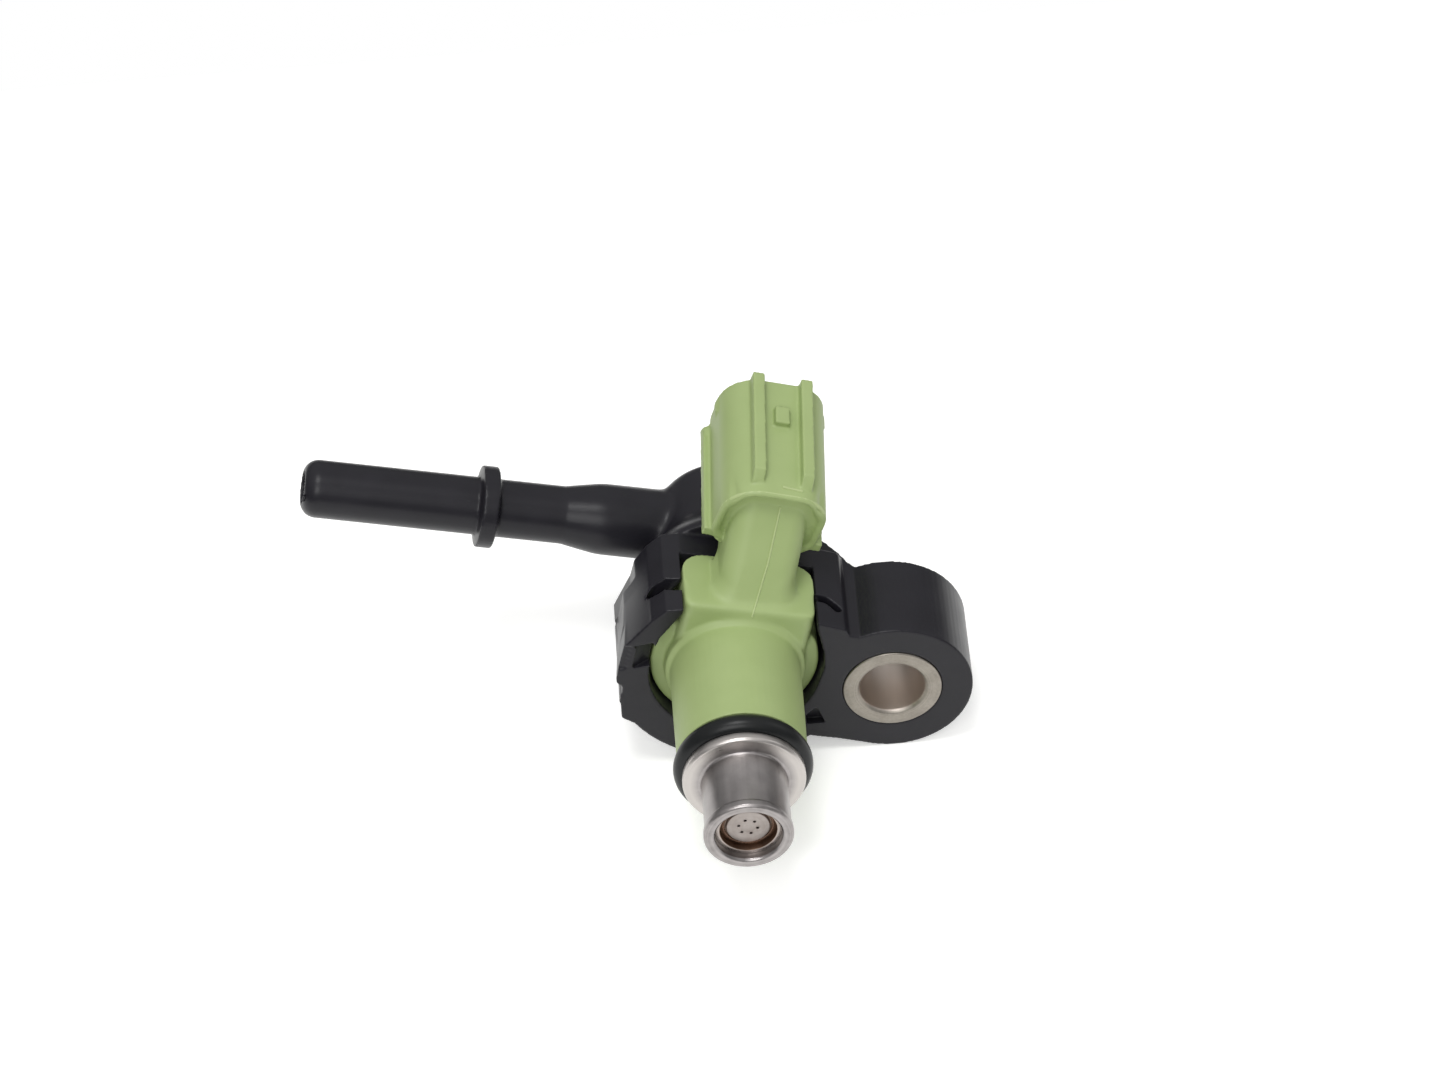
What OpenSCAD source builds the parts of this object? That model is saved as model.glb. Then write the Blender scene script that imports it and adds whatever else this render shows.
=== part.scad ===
// Fuel injector of a small engine, snapped into its moulded fuel joint.
//
// Every piece is drawn in the injector's own frame: +Z runs out of the nozzle,
// +X points to the bolt ear, +Y to the electrical connector, and Z = 0 is the
// front plane of the fuel joint. on_table() then lays the whole part down the
// way it rests on a bench, with the nozzle along -Y and +Z up, and puts the
// origin on the nozzle axis where the nozzle tube leaves its flange.

/* [Fuel joint skirt] */
// Outer radius of the skirt round the injector
skirt_r = 13; // [12.6:0.1:14.5]
// Length of the skirt behind the front plane
skirt_len = 11.8; // [11:0.1:13]
// Distance from the axis to the flat on the spigot side
skirt_flat = 12.1; // [11.6:0.1:12.5]
// Height of the two snap arms above the axis
arm_top = 8.35; // [7.8:0.05:9]
// Thickness of a snap arm along the axis
arm_t = 2.9; // [2.4:0.1:3.2]
// Width of the slot behind the snap arm on the spigot side
arm_slot = 1.6; // [1:0.1:1.8]
// Width of the slot behind the snap arm on the ear side
ear_slot = 0.9; // [0.6:0.1:1.2]
// Radius of the mouth that takes the injector's flange
mouth_r = 9.2; // [9:0.05:9.6]
// Depth of the mouth
mouth_depth = 8.7; // [8:0.1:9.5]

/* [Fuel joint cup and spigot] */
// Radius of the collar between skirt and cup
collar_r = 10.1; // [9.4:0.1:11]
// Where the collar ends behind the front plane
collar_end = 17.6; // [17:0.1:18.4]
// Outer radius of the cup
cup_r = 7.45; // [7.2:0.05:8.5]
// Where the cup ends behind the front plane
cup_end = 26; // [25.8:0.1:28]
// Radius of the gland that the upper O-ring seals in
gland_r = 5.5; // [5.3:0.05:5.7]
// Depth of the gland behind the front plane
gland_end = 19; // [18.8:0.1:19.6]
// How far the spigot's axis lies behind the front plane
spigot_z = 21.6; // [21.2:0.1:22.4]
// Outside diameter of the quick-connect spigot
spigot_d = 6.3; // [6:0.05:6.6]
// Bore of the spigot
spigot_bore = 3.6; // [3:0.1:4]
// Distance from the axis to the spigot's free end
spigot_reach = 46.5; // [44:0.1:54]
// Distance from the free end to the middle of the stop bead
bead_from_end = 20.2; // [18:0.1:22]
// Diameter of the stop bead
bead_d = 8.9; // [8.2:0.1:9.6]
// Diameter of the spigot's thicker root
root_d = 7.8; // [7.2:0.1:8.4]

/* [Bolt ear] */
// Distance from the injector axis to the bolt axis
ear_offset = 17.2; // [16.6:0.1:19]
// Outer radius of the ear
ear_r = 8.65; // [8.2:0.05:9.2]
// Length of the ear
ear_len = 10.7; // [10:0.1:11.6]
// Bolt hole of the steel collar
bolt_d = 7; // [6.4:0.1:7.4]
// Outside diameter of the steel collar
bush_d = 10.6; // [10:0.1:11.4]
// How far the steel collar stands proud at each end
bush_proud = 0.1; // [0.05:0.05:0.3]

/* [Injector barrel] */
// Radius of the moulded barrel
barrel_r = 7; // [6.8:0.05:7.2]
// Radius of the shoulder behind the barrel
shoulder_r = 7.5; // [7.3:0.05:7.8]
// Width of the index block between the snap arms
block_w = 14.2; // [13.8:0.1:14.6]
// Height of the index block above the axis
block_top = 8.6; // [8.2:0.1:9.4]
// Radius of the body behind the flange
rear_r = 7; // [6.6:0.1:7.4]
// Where the moulded body ends behind the front plane
rear_end = 13.6; // [13.4:0.1:13.8]

/* [Connector] */
// Height of the connector's middle above the axis, at its closed end
plug_y = 15.65; // [15.4:0.05:16.6]
// How far the connector's closed end lies behind the front plane
plug_z = 7; // [6.2:0.1:7.8]
// How far the connector is turned about the injector axis, towards the ear
plug_turn = 3.5; // [0:0.1:6]
// Angle between the connector and the injector axis
plug_lean = 10; // [6:1:14]
// Width of the connector shell
plug_w = 11.5; // [11.2:0.1:12.4]
// Height of the connector shell
plug_h = 10; // [9.2:0.1:10.2]
// Length of the connector shell
plug_len = 15; // [14:0.1:17]
// Wall of the connector shell
plug_wall = 1.2; // [1:0.1:1.4]
// Distance between the two guide ribs on top of the shell
rib_pitch = 5.3; // [4.8:0.1:5.8]
// Height of the guide ribs
rib_h = 1.2; // [0.8:0.1:1.5]
// How far the side fins stand out of the shell
fin_w = 0.75; // [0.4:0.1:1.2]
// Width of the neck under the connector
neck_w = 9.1; // [8.4:0.1:9.6]
// Distance between the two terminals
pin_pitch = 5; // [4.6:0.1:5.4]
// Width of a terminal blade
pin_w = 1.5; // [1.2:0.1:1.8]
// Thickness of a terminal blade
pin_t = 0.64; // [0.5:0.02:0.8]

/* [Nozzle] */
// How far the nozzle tip stands in front of the front plane
tip_z = 24.1; // [23.6:0.1:26]
// Length of the nozzle tube in front of its flange
tube_len = 7.8; // [7.6:0.1:8.4]
// Outside diameter of the nozzle tube
tube_d = 9.1; // [8.8:0.1:9.4]
// Outside diameter of the rolled lip at the tip
lip_d = 9.44; // [9.42:0.02:9.7]
// Radius of the nozzle tube's bore
tube_bore_r = 3.5; // [3.4:0.05:3.7]
// Radius of the flange that holds the lower O-ring
flange_r = 6.5; // [6.3:0.05:6.7]
// Thickness of the flange
flange_t = 1.1; // [0.9:0.1:1.3]
// Radius of the seat under the lower O-ring
seal_seat_r = 5; // [4.8:0.05:5.2]
// Width of the groove that the lower O-ring sits in
seal_groove = 2.4; // [2.2:0.05:2.6]
// Number of spray holes
spray_holes = 6; // [4:1:12]
// Diameter of a spray hole
spray_d = 0.3; // [0.2:0.05:0.4]

/* [Valve] */
// Lift of the valve
lift = 0.08; // [0.05:0.01:0.12]
// Radius of the valve ball
ball_r = 1.75; // [1.65:0.05:1.85]
// Outer radius of the needle tube
needle_r = 1.3; // [1.2:0.05:1.35]
// Bore radius of the needle tube
needle_bore_r = 0.8; // [0.6:0.05:0.85]
// Radius of the armature
armature_r = 3.05; // [2.95:0.05:3.1]
// Length of the armature
armature_len = 5.9; // [5:0.1:6.2]
// Wire diameter of the return spring
spring_wire = 0.45; // [0.35:0.05:0.5]
// Turns of the return spring
spring_turns = 5; // [4:1:6]

/* [Magnet] */
// Where the pole face lies in front of the front plane
pole_z = 1.4; // [1.2:0.1:1.6]
// Outer radius of the core and inlet tube
core_r = 3.35; // [3.3:0.01:3.4]
// Bore radius of the core
core_bore_r = 1.65; // [1.6:0.01:1.7]
// Radius of the lip at the inlet
inlet_lip_r = 4.9; // [4.6:0.1:5]
// Outer radius of the winding
winding_r = 5.5; // [5.2:0.05:5.6]
// Wall of the yoke
yoke_wall = 0.5; // [0.4:0.05:0.5]
// Length of the bobbin
bobbin_len = 10.6; // [10:0.1:10.7]

/* [Fits] */
// Clearance between pieces that seat in each other
fit = 0.02; // [0.01:0.01:0.04]
// Running clearance of the needle, the ball and the armature
running = 0.05; // [0.03:0.01:0.08]
// Clearance between the snap arms and the index block
snap_gap = 0.15; // [0.1:0.05:0.3]

/* [Hidden] */
$fn = 64;
eps = 0.01;

moulded_black = "#2E2D32";
moulded_green = "#A3BE7C";
stainless = "#A8A39E";
soft_iron = "#8C8C90";
rubber = "#1D1D1F";
copper = "#B5713C";
brass = "#C2A25A";
seal_plastic = "#E6E2D8";
bobbin_plastic = "#3A3631";
filter_plastic = "#D9D2BE";

// The skirt and the ear both touch the table, so their radii set how far it leans
rest_roll = asin((skirt_r - ear_r) / ear_offset);
flange_front = tip_z - tube_len;
flange_back = flange_front - flange_t;
barrel_end = flange_back - seal_groove;

module on_table() {
    rotate([0, rest_roll, 0])
        rotate([90, 0, 0])
            translate([0, 0, -flange_front])
                children();
}

// Ring or tube between two radii and two places on the axis
module tube(outer, inner, from, to) {
    rotate_extrude()
        translate([inner, from])
            square([outer - inner, to - from]);
}

module turned(points) {
    rotate_extrude()
        polygon(points);
}

// Extrudes a plan drawn in X and Z through a span of Y
module plan(from, to) {
    translate([0, to, 0])
        rotate([90, 0, 0])
            linear_extrude(height = to - from)
                children();
}

// Extrudes a side view, drawn with Y across and Z up, through a width centred on X
module side_view(width) {
    rotate([90, 0, 90])
        linear_extrude(height = width, center = true)
            children();
}

module ring_of(count, radius) {
    for (i = [0 : count - 1])
        rotate([0, 0, 360 * i / count])
            translate([radius, 0, 0])
                children();
}

// ---------------------------------------------------------------- fuel joint

cone_end = skirt_len + skirt_r - collar_r;
slot_w = block_w + 2 * snap_gap;
throat_r = rear_r + 0.2;
throat_end = rear_end + 0.3;
chamber_r = gland_r - 1.2;
chamber_end = cup_end - 2.2;
arm_out = slot_w / 2 + arm_t;
web_top = 7;
cup_round = 2;
web_bottom = -8.4;
key_depth = 3.5;
key_w = 3.2;
key_len = 5;
key_turn = 24;
pocket_depth = 5;
pocket_y = -5.4;
step_x = skirt_flat - 0.9;
step_y = -3;
step_z = 9;
flare_top = 7.7;

// Front view of the skirt: round below, flat beside the spigot, sloped up to the arms
module skirt_outline() {
    arm_drop = 0.45;
    low_in = 0.7;
    low_top = -3.9;
    foot_in = 1.5;
    foot_low = 9.3;
    intersection() {
        circle(r = skirt_r);
        polygon([
            [-skirt_flat + low_in, -skirt_r - 1], [-skirt_flat + low_in, low_top],
            [-skirt_flat + 0.25, low_top + 0.4], [-skirt_flat, 1.5], [-skirt_flat + 1.8, web_top - 0.9],
            [-slot_w / 2 - 1.8, arm_top - arm_drop], [-slot_w / 2, arm_top], [slot_w / 2, arm_top],
            [arm_out, arm_top - arm_drop], [arm_out + 2, web_top], [skirt_r + 1, web_top],
            [skirt_r + 1, -skirt_r - 1]
        ]);
    }
    // Foot on the spigot side
    translate([-skirt_r + foot_in, -foot_low])
        polygon([[0, 4], [0.8, 0.7], [2.5, 0], [3.5, 3.3]]);
}

module ear_outline() {
    translate([ear_offset, 0])
        circle(r = ear_r);
    polygon([
        [0, web_top], [ear_offset - 3, web_top], [ear_offset, ear_r], [ear_offset, -ear_r],
        [ear_offset - 4, web_bottom], [skirt_r - 4, web_bottom]
    ]);
}

// Rib that carries the ear on the collar, hollowed towards the cup
module gusset() {
    foot_in = 4.6;
    foot = ear_offset - foot_in;
    plan(web_top - 3, web_top)
        polygon([
            [2, -ear_len], [2, -collar_end + 2], [foot - 4.2, -collar_end + 2.5], [foot - 2, -ear_len - 2.2],
            [foot - 1, -ear_len - 0.8], [foot, -ear_len], [foot, -ear_len + 1]
        ]);
}

module joint_bore() {
    turned([
        [0, 1], [mouth_r, 1], [mouth_r, -mouth_depth], [throat_r, -mouth_depth], [throat_r, -throat_end],
        [gland_r + 0.4, -throat_end], [gland_r, -throat_end - 0.4], [gland_r, -gland_end],
        [chamber_r, -gland_end], [chamber_r, -chamber_end], [0, -chamber_end - 0.8]
    ]);
}

// Slot cut down through a path of places in X and Z, with a round end
module slot_along(path, width) {
    plan(arm_top - 4, arm_top + 1) {
        strip(path, width);
        translate(path[len(path) - 1])
            circle(d = width);
    }
}

// Slots behind the arms, open beside the index block, so that the arms can spring
module arm_slots() {
    wide = -arm_t - arm_slot / 2;
    narrow = -arm_t - arm_slot + ear_slot / 2;
    edge = slot_w / 2;
    slot_along([[-edge + 3, wide], [-edge - 1, wide - 0.3], [-edge - 2.4, wide - 0.6]], arm_slot);
    slot_along([[edge - 3, narrow], [edge + 1.2, narrow], [edge + 2.4, narrow + 1]], ear_slot);
}

module spigot() {
    tip = spigot_reach;
    bead = tip - bead_from_end;
    flare_in = skirt_r + 0.9;
    flare_out = flare_in + 4;
    r = spigot_d / 2;
    round_r = 1.7;
    translate([0, 0, -spigot_z])
        rotate([0, -90, 0])
            rotate_extrude() {
                translate([0, tip - round_r])
                    square([r - round_r, round_r]);
                translate([r - round_r, tip - round_r])
                    intersection() {
                        circle(r = round_r);
                        square(round_r);
                    }
                polygon([
                    [0, 0], [root_d / 2, 0], [root_d / 2, flare_in], [r, flare_out],
                    [r, bead - 1.1], [bead_d / 2, bead - 0.85], [bead_d / 2, bead + 0.85],
                    [r, bead + 1.1], [r, tip - round_r], [0, tip - round_r]
                ]);
            }
}

module fuel_joint() {
    color(moulded_black) on_table() difference() {
        union() {
            translate([0, 0, -skirt_len])
                linear_extrude(height = skirt_len)
                    skirt_outline();
            turned([
                [0, -skirt_len], [skirt_r - 2.1, -skirt_len], [collar_r, -cone_end + 1],
                [collar_r, -collar_end + 1.6], [cup_r, -collar_end - 1], [0, -collar_end - 1]
            ]);
            rotate_extrude() {
                translate([0, -cup_end])
                    square([cup_r - cup_round, cup_end - collar_end + 1]);
                translate([0, -cup_end + cup_round])
                    square([cup_r, cup_end - cup_round - collar_end + 1]);
                translate([cup_r - cup_round, -cup_end + cup_round])
                    circle(r = cup_round);
            }
            // Gusset from the cup to the ear
            gusset();
            translate([0, 0, -ear_len])
                linear_extrude(height = ear_len)
                    ear_outline();
            spigot();
        }
        joint_bore();
        // Slot for the index block, flared into the mouth
        translate([0, 0, -mouth_depth])
            linear_extrude(height = mouth_depth + 1)
                polygon([
                    [-slot_w / 2, skirt_r], [-slot_w / 2, flare_top], [-mouth_r + 0.3, flare_top / 2],
                    [-mouth_r - 0.1, 2], [-mouth_r, 0], [mouth_r, 0], [mouth_r + 0.1, 2],
                    [mouth_r - 0.3, flare_top / 2], [slot_w / 2, flare_top], [slot_w / 2, skirt_r]
                ]);
        arm_slots();
        // Step behind the arm on the spigot side
        translate([-skirt_r - 1, step_y, -skirt_len - 1])
            cube([skirt_r + 1 - step_x, 2 * skirt_r, skirt_len + 1 - step_z]);
        // Keyway in the front face, opposite the ear
        translate([-skirt_flat + 1, 0.6, -key_depth])
            rotate([0, 0, key_turn])
                translate([-key_len / 2, -key_w / 2, 0])
                    cube([key_len, key_w, key_depth + 1]);
        // Core pocket between the mouth and the ear
        translate([mouth_r, pocket_y, -pocket_depth])
            linear_extrude(height = pocket_depth + 1)
                polygon([[-0.4, 0], [0.5, 1.5], [2, -0.8], [0, -1.3]]);
        // Seat of the steel collar
        translate([ear_offset, 0, -ear_len - 1])
            cylinder(r = bush_d / 2 + fit, h = ear_len + 2);
        // Fuel way through the spigot into the chamber
        translate([0, 0, -spigot_z])
            rotate([0, -90, 0])
                cylinder(d = spigot_bore, h = spigot_reach + 1);
    }
}

module bolt_collar() {
    from = -ear_len - bush_proud;
    bevel = 0.35;
    color(stainless) on_table() translate([ear_offset, 0, 0])
        turned([
            [bolt_d / 2 + bevel, from], [bush_d / 2, from], [bush_d / 2, bush_proud],
            [bolt_d / 2 + bevel, bush_proud], [bolt_d / 2, bush_proud - bevel], [bolt_d / 2, from + bevel]
        ]);
}

// ------------------------------------------------------------- injector body

yoke_r = winding_r + 0.25 + yoke_wall;
bobbin_back = -1.1;
bobbin_front = bobbin_back + bobbin_len;
washer_t = 1.1;
yoke_front = bobbin_front + washer_t;
washer_back = bobbin_back - washer_t;
block_front = -0.6;
block_back = -8.5;
block_front_r = 1;
block_back_r = 2.4;
flange_edge = -1.8;
body_flange_r = mouth_r - 0.4;
shell_top_r = 4;
shell_low_r = 3;
cavity_start = 3;

// Rounded rectangle with its own corner radii above and below
module rounded(w, h, top_r, low_r) {
    polygon([
        [-w / 2, -h / 2 + low_r], [-w / 2, h / 2 - top_r], [-w / 2 + top_r, h / 2], [w / 2 - top_r, h / 2],
        [w / 2, h / 2 - top_r], [w / 2, -h / 2 + low_r], [w / 2 - low_r, -h / 2], [-w / 2 + low_r, -h / 2]
    ]);
    for (side = [-1, 1]) {
        translate([side * (w / 2 - top_r), h / 2 - top_r])
            circle(r = top_r);
        translate([side * (w / 2 - low_r), -h / 2 + low_r])
            circle(r = low_r);
    }
}

// Turns what belongs to the connector about the injector axis
module turn_plug() {
    rotate([0, 0, -plug_turn])
        children();
}

// Frame of the connector: its closed end at Z = 0, its mouth towards -Z
module at_plug() {
    turn_plug()
        translate([0, plug_y, -plug_z])
            rotate([plug_lean, 0, 0])
                children();
}

// Wall-to-wall outline of the shell, or of its cavity when drawn smaller all round
module plug_outline(inset = 0) {
    rounded(plug_w - 2 * inset, plug_h - 2 * inset, shell_top_r - inset, shell_low_r - inset);
}

module plug_shell() {
    rim = 0.7;
    rim_depth = 0.35;
    rib_w = 1.3;
    rib_start = 1.2;
    latch = [1.6, 1.3, 2.2];
    latch_from = 11.2;
    fin_t = 1.2;
    fin_low = -3.7;
    ramp_r = 1;
    at_plug() {
        translate([0, 0, -plug_len])
            linear_extrude(height = plug_len - rim_depth)
                plug_outline();
        // Rim round the closed end
        translate([0, 0, -2 * rim_depth])
            linear_extrude(height = 2 * rim_depth)
                difference() {
                    plug_outline();
                    plug_outline(rim);
                }
        // Guide ribs, sloped off towards the closed end
        for (side = [-1, 1])
            translate([side * rib_pitch / 2, plug_h / 2, 0])
                side_view(rib_w)
                    polygon([
                        [-1, -plug_len], [rib_h, -plug_len], [rib_h, -rib_start - 1], [0, -rib_start],
                        [-1, -rib_start]
                    ]);
        // Latch boss
        translate([-latch[0] / 2, plug_h / 2 - 0.5, -latch_from])
            cube(latch);
        for (side = [-1, 1]) {
            // Side fin
            translate([side * plug_w / 2 - fin_w, fin_low, -plug_len + rib_start])
                cube([2 * fin_w, fin_t, plug_len - rib_start]);
            // Snap ramp beside the mouth
            translate([side * (plug_w / 2 - ramp_r + 0.4), ramp_r / 2, -plug_len + 0.3])
                cylinder(r = ramp_r, h = 1.6);
        }
    }
}

module plug_cavity() {
    at_plug()
        translate([0, 0, -plug_len - 1])
            linear_extrude(height = plug_len + 1 - cavity_start)
                plug_outline(plug_wall);
}

// Neck from the index block up into the connector's closed end, round at its four edges
module neck() {
    top = plug_y + plug_h / 2 - 1.1;
    low = 4;
    neck_t = 7;
    edge_r = 2.4;
    lean = atan2(plug_z - 0.9, top - block_top);
    turn_plug()
        intersection() {
            side_view(neck_w + 2)
                polygon([
                    [low, block_front - 0.7], [block_top - 1, block_front - 0.7],
                    [block_top, block_front - 0.9], [top, -plug_z - 0.3], [top, -plug_z - 2.5],
                    [plug_y, -plug_z - 3], [plug_y - plug_h / 2 + 0.5, -plug_z - 4],
                    [block_top, block_back + 0.8], [low, block_back + 0.8]
                ]);
            translate([0, block_top, block_front - 0.8])
                rotate([-90 - lean, 0, 0])
                    translate([0, neck_t / 2, -low - 2])
                        linear_extrude(height = top + low)
                            rounded(neck_w, neck_t, edge_r, edge_r);
        }
}

// Path of a terminal in the side view: out of the bobbin, up the neck, then along the connector
pin_low = core_r + 1.55;
pin_bend = washer_back - 2.8;
pin_straight = 1;
pin_reach = plug_len - 4.5;
pin_points = [
    [pin_low, bobbin_back - 0.5],
    [pin_low, pin_bend],
    [plug_y + pin_straight * sin(plug_lean), -plug_z - pin_straight * cos(plug_lean)],
    [plug_y + pin_reach * sin(plug_lean), -plug_z - pin_reach * cos(plug_lean)]
];

module strip(points, thickness) {
    for (i = [1 : len(points) - 1]) {
        from = points[i - 1];
        step = points[i] - from;
        translate(from)
            rotate(atan2(step[1], step[0]))
                translate([0, -thickness / 2])
                    square([norm(step), thickness]);
        if (i < len(points) - 1)
            translate(points[i])
                circle(d = thickness);
    }
}

module terminal(side, extra = 0) {
    turn_plug()
        translate([side * pin_pitch / 2, 0, 0])
            side_view(pin_w + 2 * extra)
                strip(pin_points, pin_t + 2 * extra);
}

module terminal_left() { color(brass) on_table() terminal(-1); }
module terminal_right() { color(brass) on_table() terminal(1); }

// Block on the back of the bobbin that the terminals are pressed into
tower_wall = 0.6;
tower_gap = 0.75;
tower_t = 1.5;
tower_len = 1.4;
tower_w = pin_pitch + pin_w + 2 * tower_wall;
tower_low = core_r + tower_gap;
tower_high = tower_low + tower_t;
tower_back = washer_back - tower_len;

module tower(extra = 0, top = tower_high) {
    turn_plug()
        translate([-tower_w / 2 - extra, tower_low - extra, tower_back - extra])
            cube([tower_w + 2 * extra, top - tower_low + 2 * extra, bobbin_back + 0.5 - tower_back + extra]);
}

module injector_body() {
    color(moulded_green) on_table() difference() {
        union() {
            turned([
                [0, barrel_end], [barrel_r - 0.1, barrel_end], [barrel_r, 0], [shoulder_r, -0.5],
                [shoulder_r, flange_edge], [body_flange_r, flange_edge], [body_flange_r, -mouth_depth + 0.1],
                [rear_r, -mouth_depth + 0.1], [rear_r, -rear_end], [0, -rear_end]
            ]);
            // Index block
            plan(0, block_top)
                translate([0, (block_front + block_back) / 2])
                    rounded(block_w, block_front - block_back, block_front_r, block_back_r);
            neck();
            plug_shell();
        }
        plug_cavity();
        terminal(-1, fit);
        terminal(1, fit);
        tower(fit);
        // Room for the magnet
        turned([
            [0, barrel_end + 1], [seal_seat_r + fit, barrel_end + 1], [seal_seat_r + fit, yoke_front + fit],
            [yoke_r + fit, yoke_front + fit], [yoke_r + fit, washer_back - fit],
            [core_r + fit, washer_back - fit], [core_r + fit, -rear_end - 1], [0, -rear_end - 1]
        ]);
    }
}

// -------------------------------------------------------------------- seals

lower_section = flange_back - barrel_end - 2 * fit;
upper_section = gland_r - core_r - 2 * fit;
inlet_end = gland_end - 0.6;
lip_t = 1;
backup_t = 1.2;

module o_ring(seat_r, section, z) {
    translate([0, 0, z])
        rotate_extrude()
            translate([seat_r + fit + section / 2, 0])
                circle(d = section);
}

module lower_o_ring() {
    color(rubber) on_table() o_ring(seal_seat_r, lower_section, (flange_back + barrel_end) / 2);
}

module upper_o_ring() {
    color(rubber) on_table() o_ring(core_r, upper_section, -inlet_end + lip_t + fit + upper_section / 2);
}

module backup_ring() {
    color(seal_plastic) on_table()
        tube(gland_r - 0.1, core_r + fit, -rear_end - fit - backup_t, -rear_end - fit);
}

// ------------------------------------------------------------------- nozzle

seat_inset = 1;
plate_inset = 2.05;
apex_inset = 2;
seat_len = 5;
seat_front = tip_z - seat_inset;
plate_back = tip_z - plate_inset;
seat_back = seat_front - seat_len;
guide_front = seat_back - fit;
guide_t = 1;
bore_r = armature_r + running;
sleeve_r = core_r + 0.6;
sleeve_back = pole_z + 1.2;

module nozzle_holder() {
    edge = 0.25;
    color(stainless) on_table() turned([
        [bore_r, sleeve_back], [sleeve_r, sleeve_back], [sleeve_r, yoke_front + fit],
        [seal_seat_r, yoke_front + fit], [seal_seat_r, flange_back], [flange_r, flange_back],
        [flange_r, flange_front - edge], [flange_r - edge, flange_front], [tube_d / 2, flange_front],
        [tube_d / 2, tip_z - 1.1], [lip_d / 2, tip_z - 0.95], [lip_d / 2, tip_z - edge],
        [lip_d / 2 - edge, tip_z], [tube_bore_r + edge, tip_z], [tube_bore_r, tip_z - edge],
        [tube_bore_r, guide_front - guide_t - fit], [bore_r, guide_front - guide_t - fit]
    ]);
}

module needle_guide() {
    way_r = 0.55;
    color(soft_iron) on_table() difference() {
        tube(tube_bore_r - fit, needle_r + running, guide_front - guide_t, guide_front);
        ring_of(4, (tube_bore_r + needle_r) / 2)
            translate([0, 0, guide_front - guide_t - 1])
                cylinder(r = way_r, h = guide_t + 2);
    }
}

cone_apex = tip_z - apex_inset;
sac_r = 0.5;
ball_z = cone_apex - ball_r * sqrt(2) - eps;
guide_bore_r = ball_r + running;
rim_w = 0.5;
recess_r = tube_bore_r - rim_w;

module valve_seat() {
    way_r = 0.5;
    color(stainless) on_table() difference() {
        turned([
            [guide_bore_r + 0.4, seat_back], [tube_bore_r - fit, seat_back], [tube_bore_r - fit, seat_front],
            [recess_r, seat_front], [recess_r, plate_back], [sac_r, plate_back], [sac_r, cone_apex - sac_r],
            [guide_bore_r, cone_apex - guide_bore_r], [guide_bore_r, seat_back + 0.4]
        ]);
        // Ways for the fuel past the ball
        ring_of(4, guide_bore_r)
            translate([0, 0, seat_back - 1])
                cylinder(r = way_r, h = cone_apex - guide_bore_r - seat_back + 0.9);
    }
}

module orifice_plate() {
    rise = 0.6;
    rim_t = 0.25;
    disc_r = recess_r - 0.65;
    dish_r = 1.35;
    dish_depth = 0.2;
    hole_ring_r = 1;
    color(stainless) on_table() difference() {
        turned([
            [0, plate_back + fit], [recess_r - fit, plate_back + fit], [recess_r - fit, plate_back + rim_t],
            [disc_r, plate_back + rim_t], [disc_r - 0.1, plate_back + rise], [0, plate_back + rise]
        ]);
        // Dish on the seat's side, which feeds the spray holes
        translate([0, 0, plate_back - 1])
            cylinder(r = dish_r, h = 1 + dish_depth);
        ring_of(spray_holes, hole_ring_r)
            translate([0, 0, plate_back - 1])
                cylinder(d = spray_d, h = rise + 2);
    }
}

// -------------------------------------------------------------------- valve

armature_back = pole_z + lift + eps;
armature_front = armature_back + armature_len;
spring_pocket = 1.7;
spring_seat = armature_back + spring_pocket;
needle_back = spring_seat + 0.1;
adjuster_front = -1.6;

module valve_ball() {
    color(stainless) on_table()
        translate([0, 0, ball_z])
            sphere(r = ball_r);
}

// Thin tube, welded to the ball at the front and to the armature behind
module valve_needle() {
    cross_r = 0.4;
    cross_z = ball_z - 2 * ball_r;
    color(soft_iron) on_table() difference() {
        tube(needle_r, needle_bore_r, needle_back, ball_z - 1);
        translate([0, 0, ball_z])
            sphere(r = ball_r + fit);
        // Cross holes that let the fuel out of the tube
        for (turn = [0, 90])
            translate([0, 0, cross_z])
                rotate([90, 0, turn])
                    cylinder(r = cross_r, h = 4 * needle_r, center = true);
    }
}

module armature() {
    color(soft_iron) on_table() turned([
        [core_bore_r, armature_back], [armature_r, armature_back], [armature_r, armature_front],
        [needle_r + fit, armature_front], [needle_r + fit, spring_seat + 0.1 - fit],
        [needle_bore_r, spring_seat + 0.1 - fit], [needle_bore_r, spring_seat], [core_bore_r, spring_seat]
    ]);
}

spring_r = core_bore_r - spring_wire / 2 - 0.1;

// Helix as one chain of short skewed rings, with a closed turn at each end
module return_spring() {
    color(soft_iron) on_table()
        coil(spring_r, spring_wire, adjuster_front + fit, spring_seat - fit, spring_turns);
}

function helix(radius, from, to, turns, i, steps) =
    let (t = i / steps,
         rise = (to - from) * max(0, min(1, (t * turns - 0.75) / (turns - 1.5))),
         a = 360 * t * turns)
    [radius * cos(a), radius * sin(a), from + rise];

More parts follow.
